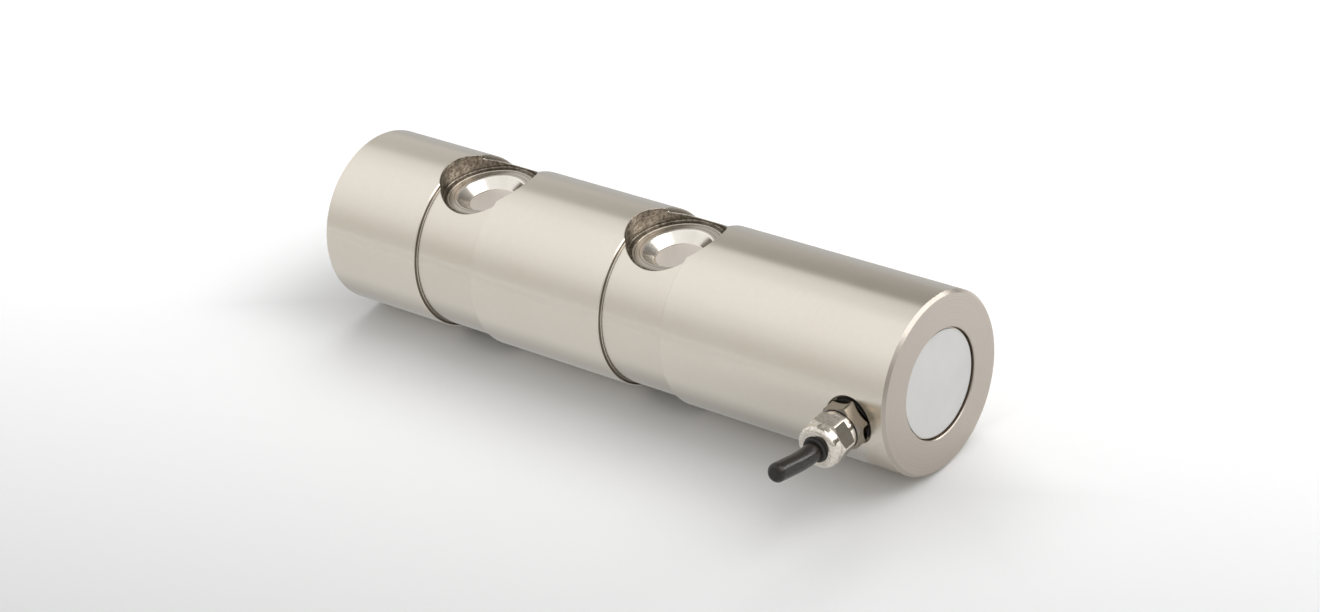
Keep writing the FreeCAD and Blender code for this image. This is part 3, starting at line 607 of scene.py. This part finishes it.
# Studio paper. The pin lies on a pale sheet that reaches far behind it. The sheet is seen a little
# brighter the further it lies from the camera, as such a sweep is, and it keeps the pin's shadow.
PAPER = (0.80, 0.80, 0.80)
PAPER_SIDE = 12
VIEW_TURN_COSINE = 0.76
VIEW_TURN_SINE = 0.65
SIDEWAYS_SHARE = 0.3
GLOW_STARTS = -165 * MM
GLOW_FULL = 35 * MM
GLOW_BEHIND = 0.27
GLOW_FAR_OFF = 0.42
PIN_MID_LENGTH = 22.75 * MM

bpy.ops.object.select_all(action="DESELECT")
bpy.ops.mesh.primitive_plane_add(size=PAPER_SIDE, location=(0, 0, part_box("pin_body")[0].z))
floor = bpy.context.object
floor.name = "studio_floor"


def seen_light(finish):
    """All of a ray that meets the eye, straight or by way of metal or glass, and none that lights."""
    seen_by = finish.node_tree.nodes.new("ShaderNodeLightPath")
    seen = reckon(finish, "MAXIMUM", seen_by.outputs["Is Camera Ray"], seen_by.outputs["Is Glossy Ray"])
    return reckon(finish, "MAXIMUM", seen, seen_by.outputs["Is Transmission Ray"])


paper = start_finish("studio_paper", PAPER, 0.0, 0.9)
place = place_on(paper)
along, across, up = along_across_up(paper, place)
rearward = reckon(paper, "SUBTRACT", reckon(paper, "MULTIPLY", across, VIEW_TURN_COSINE),
                  reckon(paper, "MULTIPLY", along, VIEW_TURN_SINE))
rightward = reckon(paper, "ADD", reckon(paper, "MULTIPLY", across, VIEW_TURN_SINE),
                   reckon(paper, "MULTIPLY", along, VIEW_TURN_COSINE))
sweep = reckon(paper, "MULTIPLY_ADD", rightward, SIDEWAYS_SHARE, rearward)
glow_behind = paper.node_tree.nodes.new("ShaderNodeMapRange")
glow_behind.inputs["From Min"].default_value = GLOW_STARTS
glow_behind.inputs["From Max"].default_value = GLOW_FULL
glow_behind.inputs["To Max"].default_value = GLOW_BEHIND
carry(paper, sweep, glow_behind.inputs["Value"])
# The glow leaves out the strip under and beside the pin, which paints a darker shadow there on top of the
# cast one
behind_pin = soft_step(paper, across, 0, 45 * MM)
before_pin = soft_step(paper, across, -8 * MM, -52 * MM)
from_mid_length = reckon(paper, "ABSOLUTE", reckon(paper, "SUBTRACT", along, PIN_MID_LENGTH))
past_pin = soft_step(paper, from_mid_length, 117 * MM, 190 * MM)
behind_cable_end = reckon(paper, "MULTIPLY", soft_step(paper, along, 130 * MM, 146 * MM),
                          soft_step(paper, across, -16 * MM, 16 * MM))
paper_outside_painted_shadow = reckon(paper, "MAXIMUM", behind_pin, before_pin)
paper_outside_painted_shadow = reckon(paper, "MAXIMUM", paper_outside_painted_shadow, past_pin)
paper_outside_painted_shadow = reckon(paper, "MAXIMUM", paper_outside_painted_shadow, behind_cable_end)
glow = reckon(paper, "MULTIPLY", glow_behind.outputs[0], paper_outside_painted_shadow)
far_off = soft_step(paper, distance_from_axis(paper, along, across), 350 * MM, 1600 * MM)
glow = reckon(paper, "MULTIPLY_ADD", far_off, GLOW_FAR_OFF, glow)
plain_value(paper, "Specular IOR Level", 0.1)
plain_value(paper, "Emission Color", (1, 1, 1, 1))
glow = reckon(paper, "MULTIPLY", seen_light(paper), glow)
carry(paper, glow, shader_socket(paper, "Emission Strength"))
floor.data.materials.append(paper)

# Studio tent. Steel shows its surroundings, so they are drawn as a photographer's tent: a bright roof,
# dimmer walls and a dark gap behind and above the pin. Each cloth is an angle off the vertical towards
# the viewer and a level. The picture's pin is rolled, so the tent and the camera roll with it.
PHOTO_ROLL = math.radians(12.2)
TENT = (
    (-180, 0.50), (-100, 0.60), (-86, 0.48), (-74, 0.42), (-64, 0.34), (-48, 0.235),
    (-40, 0.245), (-37, 0.80), (-26, 0.92), (-4, 1.0), (16, 1.0), (36, 0.96),
    (56, 0.86), (66, 0.74), (76, 0.66), (90, 0.65), (180, 0.50),
)
TENT_TOWARDS_PLAIN_END = (
    (-180, 0.66), (-40, 0.66), (-37, 0.80), (-26, 0.92), (-4, 1.0), (16, 1.0),
    (36, 0.96), (56, 0.86), (66, 0.74), (76, 0.66), (180, 0.66),
)
TENT_TOWARDS_CABLE_END = (
    (-180, 0.50), (-100, 0.50), (-88, 0.20), (-72, 0.20), (-52, 0.42), (-42, 0.55),
    (-32, 0.30), (-12, 0.30), (-4, 0.95), (38, 0.95), (50, 0.60), (80, 0.52), (180, 0.50),
)
TENT_FOR_MATT_THINGS = 0.53
TENT_STRENGTH = 1.25
GREEN_LOST_IN_SHADE = 0.05
BLUE_LOST_IN_SHADE = 0.14

tent = bpy.data.worlds.new("studio_tent")
bpy.context.scene.world = tent
tent.use_nodes = True
direction = tent.node_tree.nodes.new("ShaderNodeTexCoord").outputs["Generated"]
along, across, up = along_across_up(tent, direction)
round_angle = reckon(tent, "ARCTAN2", reckon(tent, "MULTIPLY", across, -1.0), up)
round_share = reckon(tent, "MULTIPLY_ADD", round_angle, 0.5 / math.pi, 0.5)


def hang_cloth(cloths):
    """Brightness of the tent round the pin, a little warmer where it is dim."""
    wall = tent.node_tree.nodes.new("ShaderNodeValToRGB")
    tent.node_tree.links.new(round_share, wall.inputs[0])
    stops = wall.color_ramp.elements
    while len(stops) < len(cloths):
        stops.new(0.5)
    for stop, (angle, level) in zip(stops, cloths):
        red = level / TENT_STRENGTH
        shade = max(0.0, 1 - level)
        stop.position = (angle + 180) / 360
        stop.color = (red, red * (1 - GREEN_LOST_IN_SHADE * shade), red * (1 - BLUE_LOST_IN_SHADE * shade), 1)
    return wall.outputs[0]


towards_plain_end = soft_step(tent, along, -0.50, -0.68)
tent_tone = blend_tones(tent, towards_plain_end, hang_cloth(TENT), hang_cloth(TENT_TOWARDS_PLAIN_END))
towards_cable_end = soft_step(tent, along, -0.49, -0.44)
tent_tone = blend_tones(tent, towards_cable_end, tent_tone, hang_cloth(TENT_TOWARDS_CABLE_END))
matt_tone = (TENT_FOR_MATT_THINGS / TENT_STRENGTH,) * 3
background = tent.node_tree.nodes["Background"]
background.inputs["Strength"].default_value = TENT_STRENGTH
carry(tent, blend_tones(tent, seen_light(tent), matt_tone, tent_tone), background.inputs["Color"])

# Soft boxes and cards. One soft box stands past the cable end. One overhead lights only what is matt,
# and a low one behind shows only in what shines. So do the two grey cards, which stand in for the dim
# table on either side of the pin.
LAMP_REACH = 1.3
CARD_BLACK = (0.02, 0.02, 0.02)
CARD_BEHIND_LEVEL = 0.50
CARD_IN_FRONT_LEVEL = 0.42
CARD_RISE_AT_PIN = 0.24
CARD_FALL_AT_CABLE_END = -0.10


def soft_box(name, towards, width, height, level):
    """A flat lamp that stands in the direction towards and shines at the pin."""
    light = bpy.data.lights.new(name, "AREA")
    light.shape = "RECTANGLE"
    light.size = width
    light.size_y = height
    light.energy = level * math.pi * width * height
    lamp = bpy.data.objects.new(name, light)
    bpy.context.scene.collection.objects.link(lamp)
    lamp.location = Vector(towards).normalized() * LAMP_REACH
    lamp.rotation_euler = (-Vector(towards)).to_track_quat("-Z", "Y").to_euler()
    return lamp


soft_box("soft_box_past_cable_end", (0.62, 0.28, 0.72), 1.05, 1.05, 2.2)
low_box = soft_box("low_soft_box_behind", (0.62, 0.725, 0.30), 0.54, 0.24, 7.5)
low_box.visible_diffuse = False
shadow_box = soft_box("soft_box_overhead", (-0.20, 0.53, 0.81), 1.05, 0.50, 2.9)
shadow_box.visible_glossy = False


def set_card(name, centre, size, turn, level):
    """A grey card that only the shiny surfaces see, with an even glow of the given level."""
    bpy.ops.object.select_all(action="DESELECT")
    bpy.ops.mesh.primitive_plane_add(size=1, location=centre, rotation=turn)
    card = bpy.context.object
    card.name = name
    card.dimensions = (*size, 0)
    card_paint = start_finish(name + "_paint", CARD_BLACK, 0.0, 0.9)
    plain_value(card_paint, "Emission Color", (1, 1, 1, 1))
    plain_value(card_paint, "Emission Strength", level)
    card.data.materials.append(card_paint)
    card.visible_camera = False
    card.visible_diffuse = False
    card.visible_shadow = False
    return card_paint


set_card("grey_card_behind", (-0.09, 0.10, 0.0035), (0.38, 0.067), (math.pi / 2, 0, 0), CARD_BEHIND_LEVEL)
front_paint = set_card(
    "grey_card_in_front", (-0.165, -0.106, -0.0298), (0.57, 0.188), (0, 0, 0), CARD_IN_FRONT_LEVEL)
# The front card's glow varies over it, in shares of its own length and width from its middle
along, across, up = along_across_up(front_paint, place_on(front_paint))
card_glow = reckon(front_paint, "MULTIPLY", soft_step(front_paint, across, 0.45, 0.34), CARD_RISE_AT_PIN)
at_cable_end = soft_step(front_paint, along, 0.28, 0.46)
card_glow = reckon(front_paint, "MULTIPLY_ADD", at_cable_end, CARD_FALL_AT_CABLE_END, card_glow)
card_glow = reckon(front_paint, "ADD", card_glow, CARD_IN_FRONT_LEVEL)
carry(front_paint, card_glow, shader_socket(front_paint, "Emission Strength"))

# Camera. It stands where the photographer's did, level over the table in the picture, and rolls back
# with the tent.
PHOTO_AZIMUTH = math.radians(39.503)
PHOTO_ELEVATION = math.radians(22.018)
PHOTO_DISTANCE = 1082.1 * MM
PHOTO_AIM_RIGHT = 4.79 * MM
PHOTO_AIM_UP = -4.16 * MM
LENS = 89.96
SENSOR_WIDTH = 36

pin_middle = (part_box("pin_body")[0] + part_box("pin_body")[1]) / 2
towards_camera = Vector((math.sin(PHOTO_AZIMUTH) * math.cos(PHOTO_ELEVATION),
                         -math.cos(PHOTO_AZIMUTH) * math.cos(PHOTO_ELEVATION), math.sin(PHOTO_ELEVATION)))
camera_right = Vector((math.cos(PHOTO_AZIMUTH), math.sin(PHOTO_AZIMUTH), 0))
camera_up = towards_camera.cross(camera_right)
pose = Matrix((camera_right, camera_up, towards_camera)).transposed().to_4x4()
pose.translation = camera_right * PHOTO_AIM_RIGHT + camera_up * PHOTO_AIM_UP + towards_camera * PHOTO_DISTANCE
camera_data = bpy.data.cameras.new("photo_camera")
camera_data.lens = LENS
camera_data.sensor_width = SENSOR_WIDTH
camera = bpy.data.objects.new("photo_camera", camera_data)
bpy.context.scene.collection.objects.link(camera)
camera.matrix_world = Matrix.Translation(pin_middle) @ Matrix.Rotation(-PHOTO_ROLL, 4, "X") @ pose
bpy.context.scene.camera = camera
bpy.context.scene.view_settings.view_transform = "Standard"
